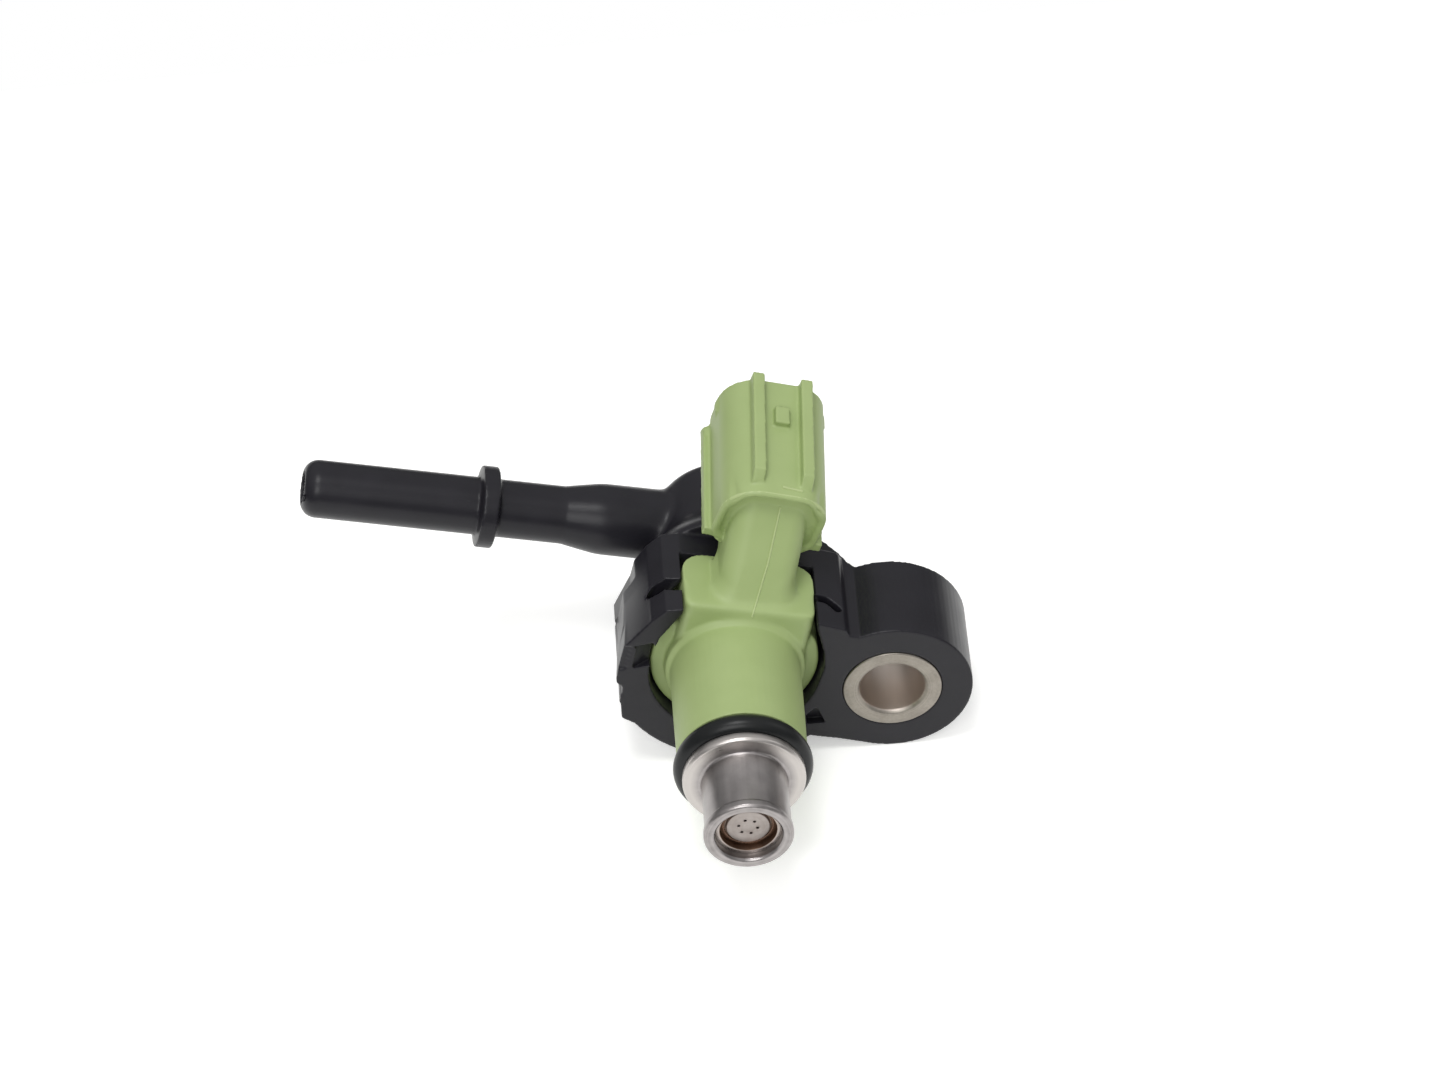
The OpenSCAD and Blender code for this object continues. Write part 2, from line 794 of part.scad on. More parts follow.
module coil(radius, wire, from, to, turns) {
    sides = 8;
    steps = turns * 16;
    low = from + wire / 2;
    high = to - wire / 2;
    points = [
        for (i = [0 : steps])
            let (c = helix(radius, low, high, turns, i, steps), a = 360 * i / steps * turns)
                for (k = [0 : sides - 1])
                    let (b = 360 * k / sides, out = wire / 2 * cos(b))
                        [c[0] + out * cos(a), c[1] + out * sin(a), c[2] + wire / 2 * sin(b)]
    ];
    skin = [
        for (i = [0 : steps - 1])
            for (k = [0 : sides - 1])
                let (n = (k + 1) % sides)
                    [i * sides + k, i * sides + n, (i + 1) * sides + n, (i + 1) * sides + k]
    ];
    ends = [
        [for (k = [sides - 1 : -1 : 0]) k],
        [for (k = [0 : sides - 1]) steps * sides + k]
    ];
    polyhedron(points, concat(skin, ends), convexity = 8);
}

module spring_adjuster() {
    len = 5.5;
    wall = 0.75 - fit;
    slit = 0.4;
    color(stainless) on_table() difference() {
        tube(core_bore_r - fit, core_bore_r - fit - wall, adjuster_front - len, adjuster_front);
        // Slit that lets it spring into the core
        translate([0, -slit / 2, adjuster_front - len - 1])
            cube([core_bore_r + 1, slit, len + 2]);
    }
}

// ------------------------------------------------------------------- magnet

filter_r = 2.3;
filter_depth = 6.4;

module pole_core() {
    color(soft_iron) on_table() turned([
        [core_bore_r, pole_z], [core_r, pole_z], [core_r, -inlet_end + lip_t],
        [inlet_lip_r, -inlet_end + lip_t], [inlet_lip_r, -inlet_end + 0.3],
        [inlet_lip_r - 0.3, -inlet_end], [filter_r, -inlet_end],
        [filter_r, -inlet_end + filter_depth], [core_bore_r, -inlet_end + filter_depth]
    ]);
}

module isolating_ring() {
    color(stainless) on_table() tube(sleeve_r, core_r + fit, bobbin_back + 0.6, sleeve_back - fit);
}

bobbin_r = sleeve_r + fit + 0.5;

module coil_bobbin() {
    cheek_t = 0.8;
    cheek_r = winding_r + 0.2;
    color(bobbin_plastic) on_table() difference() {
        union() {
            tube(bobbin_r, sleeve_r + fit, bobbin_back, bobbin_front);
            tube(cheek_r, sleeve_r + fit, bobbin_back, bobbin_back + cheek_t);
            tube(cheek_r, sleeve_r + fit, bobbin_front - cheek_t, bobbin_front);
            tower();
        }
        terminal(-1, fit);
        terminal(1, fit);
    }
}

module coil_winding() {
    color(copper) on_table() tube(winding_r, bobbin_r + fit, bobbin_back + 0.85, bobbin_front - 0.85);
}

module coil_yoke() {
    color(soft_iron) on_table() difference() {
        turned([
            [yoke_r, washer_back], [yoke_r, yoke_front], [sleeve_r + fit, yoke_front],
            [sleeve_r + fit, bobbin_front + fit], [yoke_r - yoke_wall, bobbin_front + fit],
            [yoke_r - yoke_wall, washer_back]
        ]);
        tower(fit, yoke_r);
    }
}

module yoke_washer() {
    color(soft_iron) on_table() difference() {
        tube(yoke_r - yoke_wall - fit, core_r + fit, washer_back, bobbin_back - fit);
        // Notch for the bobbin's terminal tower, open to the rim
        tower(fit, yoke_r);
    }
}

// -------------------------------------------------------------- inlet filter

filter_bore_r = 1.2;
filter_from = -inlet_end + 0.2;
filter_to = -inlet_end + filter_depth - 0.3;
filter_rim = 1.5;
filter_cap = 0.6;

module filter_frame() {
    bar = 0.6;
    color(filter_plastic) on_table() {
        tube(filter_r - fit, filter_bore_r, filter_from, filter_from + filter_rim);
        translate([0, 0, filter_to - filter_cap])
            cylinder(r = filter_r - 0.3, h = filter_cap);
        // Three bars that carry the screen
        ring_of(3, filter_r - 0.65)
            translate([0, 0, (filter_from + filter_to) / 2])
                cube([bar, bar, filter_to - filter_from - 1], center = true);
    }
}

module filter_screen() {
    wall = 0.13;
    from = filter_from + filter_rim + fit;
    to = filter_to - filter_cap - fit;
    color(stainless) on_table() tube(filter_bore_r + wall, filter_bore_r, from, to);
}

fuel_joint();
bolt_collar();
injector_body();
lower_o_ring();
upper_o_ring();
backup_ring();
nozzle_holder();
needle_guide();
valve_seat();
orifice_plate();
valve_ball();
valve_needle();
armature();
return_spring();
spring_adjuster();
pole_core();
isolating_ring();
coil_bobbin();
coil_winding();
coil_yoke();
yoke_washer();
filter_frame();
filter_screen();
terminal_left();
terminal_right();
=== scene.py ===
import math

import bmesh
import bpy
from mathutils import Matrix, Vector
from mathutils.bvhtree import BVHTree


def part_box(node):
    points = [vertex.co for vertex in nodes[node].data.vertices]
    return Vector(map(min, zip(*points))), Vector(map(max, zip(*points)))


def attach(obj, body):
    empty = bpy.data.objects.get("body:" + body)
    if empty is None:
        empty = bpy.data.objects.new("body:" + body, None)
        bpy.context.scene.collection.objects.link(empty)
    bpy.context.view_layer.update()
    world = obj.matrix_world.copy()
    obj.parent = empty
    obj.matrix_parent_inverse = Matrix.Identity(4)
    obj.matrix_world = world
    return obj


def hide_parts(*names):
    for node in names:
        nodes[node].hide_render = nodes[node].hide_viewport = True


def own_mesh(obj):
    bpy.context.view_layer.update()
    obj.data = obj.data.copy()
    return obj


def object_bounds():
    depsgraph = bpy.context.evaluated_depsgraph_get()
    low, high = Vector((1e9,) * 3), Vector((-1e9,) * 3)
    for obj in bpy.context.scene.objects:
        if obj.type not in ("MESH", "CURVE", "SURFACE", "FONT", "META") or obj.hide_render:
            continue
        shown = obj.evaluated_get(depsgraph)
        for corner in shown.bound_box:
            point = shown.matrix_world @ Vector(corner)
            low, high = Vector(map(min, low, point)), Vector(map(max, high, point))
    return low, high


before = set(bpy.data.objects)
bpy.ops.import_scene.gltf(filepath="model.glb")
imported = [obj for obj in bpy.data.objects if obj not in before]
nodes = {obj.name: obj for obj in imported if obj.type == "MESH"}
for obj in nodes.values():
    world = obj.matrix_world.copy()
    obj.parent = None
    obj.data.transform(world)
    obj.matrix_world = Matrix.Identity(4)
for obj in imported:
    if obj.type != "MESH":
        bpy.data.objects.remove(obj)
cad_low, cad_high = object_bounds()


# ------------------------------------------------------------ the photograph
# The injector was photographed with a long lens from the nozzle end, looking
# down at 44 degrees. The camera below was fitted to these points, which also
# place the small pieces: x and y in the photograph, in pixels, or None where
# only one is used.
photo_w, photo_h = 1450, 1088
image_points = {
    "left_end": (302.0, None),
    "right_edge": (972.6, None),
    "top_edge": (None, 371.0),
    "bottom_edge": (None, 868.6),
    "collar_centre": (892.4, 688.0),
    "spray_disc_centre": (748.7, 827.5),
    "bead_top": (490.0, 467.2),
    "metal_flange_top": (747.0, 734.5),
    "left_rib_end": (759.6, 482.0),
    "right_rib_end": (809.0, 488.0),
    "latch_boss": (781.0, 416.0),
    "seam_low": (752.0, 617.0),
    "seam_middle": (768.0, 563.0),
    "seam_high": (781.0, 505.0),
    "shell_mark": (792.5, 489.0),
    "spigot_nib": (303.5, 498.0),
}

camera = bpy.data.objects.new("photo_camera", bpy.data.cameras.new("photo_camera"))
bpy.context.scene.collection.objects.link(camera)
bpy.context.scene.camera = camera
azimuth = math.radians(-0.19)
elevation = math.radians(44.01)
roll = math.radians(-4.454)
distance = 0.6071
aim = Vector((-0.000013, 0.025819, 0.009854))
camera.data.sensor_fit = "AUTO"
camera.data.sensor_width = 36
camera.data.lens = 141.52
camera.data.clip_start = 0.01
camera.data.clip_end = 20
view_turn = (
    Matrix.Rotation(azimuth, 4, "Z")
    @ Matrix.Rotation(math.pi / 2 - elevation, 4, "X")
    @ Matrix.Rotation(roll, 4, "Z")
)
camera.matrix_world = Matrix.Translation(aim) @ view_turn @ Matrix.Translation((0, 0, distance))


# ------------------------------------------------------- the floor and light
# A white photographer's table under soft lamps, in a plain room that is
# brighter towards its ceiling. The table glows a little where the camera or a
# reflection sees it, so that it shows white and keeps the part's shadow.


def linear(hex_colour):
    """Turns an sRGB colour such as "#A3B578" into the linear colour that a shader takes."""
    parts = [int(hex_colour[i : i + 2], 16) / 255 for i in (1, 3, 5)]
    return [c / 12.92 if c <= 0.04045 else ((c + 0.055) / 1.055) ** 2.4 for c in parts] + [1.0]


def add_node(tree, kind, inputs=None, **settings):
    """Adds a node with its settings, and sets or links each of its inputs."""
    node = tree.nodes.new(kind)
    for name, value in settings.items():
        setattr(node, name, value)
    for key, value in (inputs or {}).items():
        if isinstance(value, bpy.types.NodeSocket):
            tree.links.new(value, node.inputs[key])
        else:
            node.inputs[key].default_value = value
    return node


def new_material(name):
    """An empty node material and its tree."""
    material = bpy.data.materials.new(name)
    material.use_nodes = True
    material.node_tree.nodes.clear()
    return material, material.node_tree


def deselect_all():
    """An operator acts on all that is selected, so this comes before each new piece."""
    if bpy.context.mode != "OBJECT":
        bpy.ops.object.mode_set(mode="OBJECT")
    bpy.ops.object.select_all(action="DESELECT")


floor_colour, floor_glow = "#F4F4F2", 0.42
floor_half = 0.14
deselect_all()
bpy.ops.mesh.primitive_plane_add(size=2 * floor_half, location=(0, 0, cad_low[2]))
floor = bpy.context.object
floor.name = "white_table"
table_material, tree = new_material("white_painted_table")
path = add_node(tree, "ShaderNodeLightPath")
matt = add_node(tree, "ShaderNodeBsdfDiffuse", {"Color": linear(floor_colour)})
glow = add_node(tree, "ShaderNodeEmission", {"Color": linear("#FFFFFF"), "Strength": floor_glow})
bright = add_node(tree, "ShaderNodeAddShader", {0: matt.outputs[0], 1: glow.outputs[0]})
seen = add_node(
    tree,
    "ShaderNodeMath",
    {0: path.outputs["Is Camera Ray"], 1: path.outputs["Is Glossy Ray"]},
    operation="MAXIMUM",
)
surface = add_node(
    tree, "ShaderNodeMixShader", {0: seen.outputs[0], 1: matt.outputs[0], 2: bright.outputs[0]}
)
add_node(tree, "ShaderNodeOutputMaterial", {"Surface": surface.outputs[0]})
floor.data.materials.append(table_material)

# One square lamp stands above, a broad key lamp over the camera's left and a
# weak one on the right: place and side in metres, and watts.
lamps = {
    "lamp_above": ((-0.06, -0.08, 0.74), 0.22, 1.5),
    "lamp_key": ((-0.12, -0.50, 0.48), 0.35, 1.5),
    "lamp_right": ((0.65, 0.10, 0.45), 0.35, 0.3),
}
part_middle = Vector((0, 0.02, 0))
for name, (place, size, power) in lamps.items():
    lamp = bpy.data.objects.new(name, bpy.data.lights.new(name, "AREA"))
    bpy.context.scene.collection.objects.link(lamp)
    lamp.data.shape = "SQUARE"
    lamp.data.size = size
    lamp.data.energy = power
    lamp.location = place
    lamp.rotation_euler = (part_middle - Vector(place)).to_track_quat("-Z", "Y").to_euler()

wall_light, ceiling_light, ceiling_from = 0.14, 0.68, 0.75
world = bpy.data.worlds.new("bright_room")
bpy.context.scene.world = world
world.use_nodes = True
world.node_tree.nodes.clear()
tree = world.node_tree
path = add_node(tree, "ShaderNodeLightPath")
towards = add_node(tree, "ShaderNodeTexCoord").outputs["Generated"]
upward = add_node(tree, "ShaderNodeSeparateXYZ", {0: towards})
ceiling = add_node(
    tree,
    "ShaderNodeMapRange",
    {
        "Value": upward.outputs["Z"],
        "From Min": 0.0,
        "From Max": ceiling_from,
        "To Min": wall_light,
        "To Max": ceiling_light,
    },
)
room = add_node(tree, "ShaderNodeBackground", {"Color": linear("#FFFFFF"), "Strength": ceiling.outputs[0]})
white = add_node(tree, "ShaderNodeBackground", {"Color": linear("#FFFFFF"), "Strength": 1.0})
sky = add_node(
    tree,
    "ShaderNodeMixShader",
    {0: path.outputs["Is Camera Ray"], 1: room.outputs[0], 2: white.outputs[0]},
)
add_node(tree, "ShaderNodeOutputWorld", {"Surface": sky.outputs[0]})
bpy.context.scene.view_settings.view_transform = "Standard"


# ------------------------------------------------------------ the fuel joint
# The joint that the injector snaps into: a cup with the spigot for the fuel
# hose, a skirt with two snap arms, and the ear that is bolted down. It is one
# injection moulding of black glass-filled nylon.

# As it lies on the table the part is rolled until its ear touches it. The
# joint's front plane is z = 0 in the injector's own frame, in mm.
ear_low, ear_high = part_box("bolt_collar")
ear_axis = ((ear_low[0] + ear_high[0]) / 2, (ear_low[2] + ear_high[2]) / 2)
rest_roll = math.atan2(-ear_axis[1], ear_axis[0])
joint_front = 16.3


def on_table(x, y, z):
    """A place in the injector's own frame, in mm, as it lies on the table, in metres."""
    return Vector((
        x * math.cos(rest_roll) + y * math.sin(rest_roll),
        joint_front - z,
        -x * math.sin(rest_roll) + y * math.cos(rest_roll),
    )) / 1000


def in_injector(place):
    """Injector coordinates in mm, x to the ear, y to the connector and z out of the nozzle."""
    x, y, z = (1000 * c for c in place)
    return (
        x * math.cos(rest_roll) - z * math.sin(rest_roll),
        x * math.sin(rest_roll) + z * math.cos(rest_roll),
        joint_front - y,
    )


def copy_of(node, name):
    """A merged copy of a CAD node, selected and active, to be finished in its place."""
    deselect_all()
    piece = bpy.data.objects.new(name, nodes[node].data.copy())
    bpy.context.scene.collection.objects.link(piece)
    piece.select_set(True)
    bpy.context.view_layer.objects.active = piece
    bpy.ops.object.mode_set(mode="EDIT")
    bpy.ops.mesh.select_all(action="SELECT")
    bpy.ops.mesh.remove_doubles(threshold=1e-7)
    bpy.ops.object.mode_set(mode="OBJECT")
    piece.data.materials.clear()
    return piece


def finish_with(piece, kind, **settings):
    """Adds a modifier with its settings and applies it."""
    modifier = piece.modifiers.new(kind.lower(), kind)
    for name, value in settings.items():
        setattr(modifier, name, value)
    bpy.ops.object.modifier_apply(modifier=modifier.name)


fillet_rounds, edge_rounds, most_triangles = 110, 4, 195000


def soften(piece, voxel, fillets, waist):
    """Gives a copy the one soft skin of a moulding: waist() moves what the solid has too wide, then
    come wide fillets where fillets() says how much, from 0 to 1, and every other edge is slightly
    rounded. The mesh is then thinned. The voxel is in mm."""
    finish_with(piece, "REMESH", mode="VOXEL", voxel_size=voxel / 1000)
    for vertex in piece.data.vertices:
        vertex.co = on_table(*waist(*in_injector(vertex.co)))
    root = piece.vertex_groups.new(name="fillets")
    for vertex in piece.data.vertices:
        share = fillets(*in_injector(vertex.co))
        if share > 0:
            root.add([vertex.index], min(1, share), "REPLACE")
    finish_with(piece, "SMOOTH", factor=0.5, iterations=fillet_rounds, vertex_group="fillets")
    finish_with(piece, "SMOOTH", factor=0.5, iterations=edge_rounds)
    triangles = 2 * len(piece.data.polygons)
    finish_with(piece, "DECIMATE", ratio=min(1, most_triangles / triangles))
    piece.vertex_groups.clear()
    bpy.ops.object.shade_smooth()


def fade(value, low, high, edge):
    """1 well between low and high, falling to 0 at them over the width of edge."""
    return max(0, min(1, (value - low) / edge, (high - value) / edge))


def join_to(piece, *others):
    """Joins solids that run into each other, before the remesh makes one skin of them."""
    deselect_all()
    for other in others:
        other.select_set(True)
    piece.select_set(True)
    bpy.context.view_layer.objects.active = piece
    bpy.ops.object.join()


def belongs(piece, material):
    """The piece wears its material, and rides on the part's fixed body."""
    piece.data.materials.append(material)
    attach(piece, "root")


def stands_for(piece, node, material):
    """The piece is shown in the place of its CAD node, on the same body."""
    belongs(piece, material)
    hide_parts(node)


# How deep the grain is, in mm, and how much the flow changes the roughness.
grain_deep, flow_gloss = 0.02, 0.06


def moulded_plastic(name, dark, pale, rough, sheen, grain_mm, flow_mm, relief):
    """A moulded plastic: a faint flow pattern in the colour and gloss, and the grain that the
    spark-eroded mould leaves. The real grain is some 0.03 mm, too fine to show, and is drawn as
    coarse as grain_mm says."""
    material, tree = new_material(name)
    place = add_node(tree, "ShaderNodeTexCoord").outputs["Object"]
    grain = add_node(tree, "ShaderNodeTexNoise", {"Vector": place, "Scale": 1000 / grain_mm, "Detail": 2.0})
    flow = add_node(tree, "ShaderNodeTexNoise", {"Vector": place, "Scale": 1000 / flow_mm, "Detail": 3.0})
    tone = add_node(
        tree,
        "ShaderNodeMix",
        {"Factor": flow.outputs["Fac"], 6: linear(dark), 7: linear(pale)},
        data_type="RGBA",
    )
    gloss = add_node(
        tree,
        "ShaderNodeMapRange",
        {"Value": flow.outputs["Fac"], "To Min": rough - flow_gloss, "To Max": rough + flow_gloss},
    )
    skin = add_node(
        tree,
        "ShaderNodeBump",
        {"Height": grain.outputs["Fac"], "Strength": relief, "Distance": grain_deep / 1000},
    )
    plastic = add_node(
        tree,
        "ShaderNodeBsdfPrincipled",
        {
            "Base Color": tone.outputs[2],
            "Roughness": gloss.outputs[0],
            "IOR": 1.55,
            "Specular IOR Level": sheen,
            "Normal": skin.outputs[0],
        },
    )
    add_node(tree, "ShaderNodeOutputMaterial", {"Surface": plastic.outputs[0]})
    return material


# Glass-filled nylon from the mould is near black with a satin gloss: soft
# highlights along the spigot, and dull where the glass comes to the skin.
joint_material = moulded_plastic(
    "moulded_glass_filled_nylon", "#19181D", "#242329",
    rough=0.33, sheen=0.24, grain_mm=0.15, flow_mm=3.5, relief=0.3,
)


def joint_fillets(x, y, z):
    """Wide where the spigot and the collar run into the cup, none on the skirt, the arms and the ear."""
    return fade(z, -30, -11.6, 1.4) * fade(x, -16, 9, 2)


# The keyway in the skirt's mouth, as the solid has it, in mm, how far past
# its walls its floor is moved, and how much of its depth is kept at its inner
# and at its outer end.
key_x, key_y, key_turn = -11.1, 0.6, math.radians(24)
key_w, key_depth, key_from, key_to = 3.2, 3.5, -9.3, -11
key_outer, key_inner = -11.4, -8
past, kept_inside, kept_outside = 0.1, 0.3, 0.05
# The block that closes the keyway's outer end.
end_out, end_in, end_low, end_high, end_front = -11.95, -10.9, -1.85, 2, -0.25
# The core pocket beside the ear, and how much of its depth is kept.
pocket_x, pocket_y, pocket_depth, pocket_kept = (8.5, 11.5), (-7, -3.5), 5.1, 0.2
# The skirt's edge beside the keyway stands out by this much.
edge_more = 0.5
# The wall under the keyway is cut back to a slanting plane.
wall_x, wall_y, wall_z, wall_plane, wall_slant = -10.9, (-3.2, 1.5), (-12, -8.9), -12.1, 0.2
# The collar between skirt and cup, z and radius, as the solid has it. It is
# drawn in from its first radius to its last in one smooth curve.
collar_profile = [(-11.8, 10.9), (-13.7, 10.1), (-16, 10.1), (-18.6, 7.45)]
(collar_top, collar_wide), (collar_end, collar_slim) = collar_profile[0], collar_profile[-1]


def joint_waist(x, y, z):
    """Lets the keyway's floor rise to the outside, makes it and the core pocket shallower, widens the
    skirt's edge beside it, and draws the collar in to one smooth neck between skirt and cup."""
    across = (y - key_y) * math.cos(key_turn) - (x - key_x) * math.sin(key_turn)
    if key_outer < x < key_inner and abs(across) < key_w / 2 + past and -key_depth - past < z < 0:
        outward = max(0, min(1, (key_from - x) / (key_from - key_to)))
        z *= kept_inside - (kept_inside - kept_outside) * outward
    if pocket_x[0] < x < pocket_x[1] and pocket_y[0] < y < pocket_y[1] and -pocket_depth < z < 0:
        z *= pocket_kept
    if z > collar_top - 0.2:
        x -= edge_more * fade(-x, 10.4, 14, 1.5) * fade(y, -4.6, 8, 1.5) * fade(z, -7, 7, 7)
    if x < wall_x and wall_y[0] < y < wall_y[1] and wall_z[0] < z < wall_z[1]:
        x = min(x, wall_plane + wall_slant * (y + 3))
    for (z0, r0), (z1, r1) in zip(collar_profile, collar_profile[1:]):
        if z1 < z <= z0:
            radius = math.hypot(x, y)
            solid_r = r0 + (r1 - r0) * (z0 - z) / (z0 - z1)
            way = (collar_top - z) / (collar_top - collar_end)
            smooth_r = collar_wide - (collar_wide - collar_slim) * way * way * (3 - 2 * way)
            # neither the bore nor the ear's gusset is moved
            share = fade(radius, 7.3, 13, 0.4) * fade(x, -20, 5, 4)
            x, y = (c * (1 - share * (solid_r - smooth_r) / solid_r) for c in (x, y))
            break
    return x, y, z


joint = copy_of("fuel_joint", "joint_moulding")
deselect_all()
bpy.ops.mesh.primitive_cube_add(size=1)
keyway_end = bpy.context.object
for vertex in keyway_end.data.vertices:
    side, up, deep = (c > 0 for c in vertex.co)
    vertex.co = on_table(
        end_in if side else end_out,
        end_high if up else end_low,
        end_front if deep else -key_depth - past,
    )
bpy.ops.object.mode_set(mode="EDIT")
bpy.ops.mesh.normals_make_consistent(inside=False)
bpy.ops.object.mode_set(mode="OBJECT")
join_to(joint, keyway_end)
soften(joint, voxel=0.15, fillets=joint_fillets, waist=joint_waist)
stands_for(joint, "fuel_joint", joint_material)


# --------------------------------------------------------- the injector body
# The over-moulding round the injector's metal: barrel, flange, index block,
# neck and connector in one piece of pale green polyester (PBT), moulded round
# the coil and the terminals. Its neck runs into the block in a wide fillet.

# Polyester from the mould is matt and a little waxy, with faint flow marks.
body_material = moulded_plastic(
    "moulded_green_polyester", "#9BAE71", "#A6B87C",
    rough=0.5, sheen=0.5, grain_mm=0.15, flow_mm=4.0, relief=0.18,
)
neck_root, fillet_reach, neck_slim = 8.7, 1.9, 0.1
flange_r, flange_more = 8.8, 0.2
plug_y, plug_z = 15.65, -7
plug_turn, plug_lean = math.radians(3.5), math.radians(10)
plug_w, plug_h = 11.5, 10


def at_plug(x, y, z):
    """From the connector's frame, with its closed end at z = 0, to the injector's."""
    up = y * math.cos(plug_lean) - z * math.sin(plug_lean) + plug_y
    along = y * math.sin(plug_lean) + z * math.cos(plug_lean) + plug_z
    return (
        x * math.cos(plug_turn) + up * math.sin(plug_turn),
        -x * math.sin(plug_turn) + up * math.cos(plug_turn),
        along,
    )


def body_fillets(x, y, z):
    """Wide on the neck's front face where it meets the block, and on the left snap ramp."""
    near_root = fade(y, neck_root - fillet_reach, neck_root + fillet_reach, fillet_reach)
    front = 2 * near_root * fade(z, -4.5, 1, 1.5)
    ramp = fade(x, -9, -4.6, 0.4) * fade(y, 15, 24, 1) * fade(z, -24, -19.5, 0.5)
    return max(front, ramp)


def body_waist(x, y, z):
    """Draws the neck in a little between the block and the connector, and fills the flange out
    towards the joint's mouth, which it nearly touches."""
    middle = y * math.sin(plug_turn)
    slim = neck_slim * fade(y, neck_root, 20, 1.2) * fade(z, -9.5, 1, 1.5) * fade(x - middle, -5.2, 5.2, 0.4)
    x = middle + (x - middle) * (1 - slim)
    radius = math.hypot(x, y)
    more = fade(radius, 8.2, 9.4, 0.3) * fade(z, -9.4, -1.2, 0.4) * fade(y, -10, 5, 1)
    grow = 1 + flange_more / flange_r * more
    return x * grow, y * grow, z


def tube_along(places, radius, name, closed=False):
    """A round bead along places in metres, of a radius in mm."""
    path = bpy.data.curves.new(name, "CURVE")
    path.dimensions = "3D"
    path.bevel_depth = radius / 1000
    path.bevel_resolution = 3
    path.use_fill_caps = True
    line = path.splines.new("POLY")
    line.points.add(len(places) - 1)
    for point, place in zip(line.points, places):
        point.co = (*place, 1)
    line.use_cyclic_u = closed
    deselect_all()
    bead = bpy.data.objects.new(name, path)
    bpy.context.scene.collection.objects.link(bead)
    bead.select_set(True)
    bpy.context.view_layer.objects.active = bead
    bpy.ops.object.convert(target="MESH")
    return bead


# The connector's corners: which side in x and y, radius in mm, and the angle
# at which the corner starts.
plug_corners = ((1, 1, 4, 0), (-1, 1, 4, 90), (-1, -1, 3, 180), (1, -1, 3, 270))
corner_steps = 8


def round_the_shell(inset, along):
    """Places round the connector's closed end, inset from its outside, in metres."""
    places = []
    for corner_x, corner_y, corner_r, start in plug_corners:
        for step in range(corner_steps + 1):
            a = math.radians(start + step * 90 / corner_steps)
            places.append(on_table(*at_plug(
                corner_x * (plug_w / 2 - corner_r) + (corner_r - inset) * math.cos(a),
                corner_y * (plug_h / 2 - corner_r) + (corner_r - inset) * math.sin(a),
                along,
            )))
    return places


# The shell's closed end is rolled outwards, by a bead that the remesh takes in.
rim_r, rim_in, rim_out = 0.36, 0.34, -0.08
body = copy_of("injector_body", "body_moulding")
join_to(body, tube_along(round_the_shell(rim_in, rim_out), rim_r, "shell_bead", closed=True))
soften(body, voxel=0.14, fillets=body_fillets, waist=body_waist)
stands_for(body, "injector_body", body_material)


def meshes_under(pieces):
    """A search tree over finished pieces, with their places in the scene."""
    corners, faces = [], []
    for piece in pieces:
        start = len(corners)
        corners.extend(piece.matrix_world @ v.co for v in piece.data.vertices)
        faces.extend([start + i for i in face.vertices] for face in piece.data.polygons)
    return BVHTree.FromPolygons(corners, faces)


def ray_through(x, y):
    """Start and direction of the ray that the camera sends through a point of the photograph."""
    long_side = max(photo_w, photo_h)
    lens = camera.data
    direction = Vector((
        x - photo_w / 2 + lens.shift_x * long_side,
        photo_h / 2 - y + lens.shift_y * long_side,
        -long_side * lens.lens / lens.sensor_width,
    ))
    return camera.matrix_world.translation.copy(), (camera.matrix_world.to_3x3() @ direction).normalized()


def on_surface(x, y, carrier):
    """Where the ray through a point of the photograph meets the carrier, and the surface's normal
    there. A miss takes the carrier's place nearest the ray."""
    start, direction = ray_through(x, y)
    place, normal = carrier.ray_cast(start, direction)[:2]
    if place is None:
        near = start + direction * distance
        for closer in range(6):
            place, normal = carrier.find_nearest(near)[:2]
            near = start + direction * (place - start).dot(direction)
    return place, normal


def trim_bead(places, radius, name, material, closed=False):
    """A smooth bead that is a piece of its own on a moulding."""
    bead = tube_along(places, radius, name, closed)
    bpy.ops.object.shade_smooth()
    belongs(bead, material)
    return bead


# The parting line that the two mould halves leave down the neck: a thin
# thread of the body's own polyester, pressed out between them.
body_surface = meshes_under([body])
# The beads are painted paler than the body: a painted highlight along the seam, the rim and the land. Their
# grain is shallower.
highlight_bead_material = moulded_plastic(
    "green_polyester_painted_highlight", "#ADBD83", "#B8C78E",
    rough=0.45, sheen=0.5, grain_mm=0.15, flow_mm=4.0, relief=0.1,
)
seam_r, seam_proud, seam_steps = 0.11, 0.1, 24
seam_points = [image_points[name] for name in ("seam_low", "seam_middle", "seam_high")]
seam_places = []
for (x0, y0), (x1, y1) in zip(seam_points, seam_points[1:]):
    for step in range(seam_steps):
        x = x0 + (x1 - x0) * step / seam_steps
        y = y0 + (y1 - y0) * step / seam_steps
        place, normal = on_surface(x, y, body_surface)
        seam_places.append(place + seam_proud * seam_r / 1000 * normal)
seam = trim_bead(seam_places, seam_r, "neck_seam", highlight_bead_material)

# The rolled rim round the connector's closed end, of the same polyester, as
# the mould's slide shapes it where the shell starts.
lip_r, lip_in, lip_out = 0.21, 0.2, -0.1
lip_places = round_the_shell(lip_in, lip_out)
lip = trim_bead(lip_places, lip_r, "shell_rim", highlight_bead_material, closed=True)

# The short land that the mould's slide leaves on that rim, also polyester.
# Its place is seen in the photograph, and its steps are in its pixels.
mark_x, mark_y = image_points["shell_mark"]
mark_r, mark_sunk, mark_half, mark_steps = 0.17, 0.02, 10, 12
mark_rise, mark_slope = 2, 0.4
mark_places = []
for step in range(mark_steps):
    x = mark_x - mark_half + 2 * mark_half * step / (mark_steps - 1)
    place, normal = on_surface(x, mark_y - mark_rise + step * mark_slope, body_surface)
    mark_places.append(place - mark_sunk / 1000 * normal)
mark = trim_bead(mark_places, mark_r, "rim_land", highlight_bead_material)

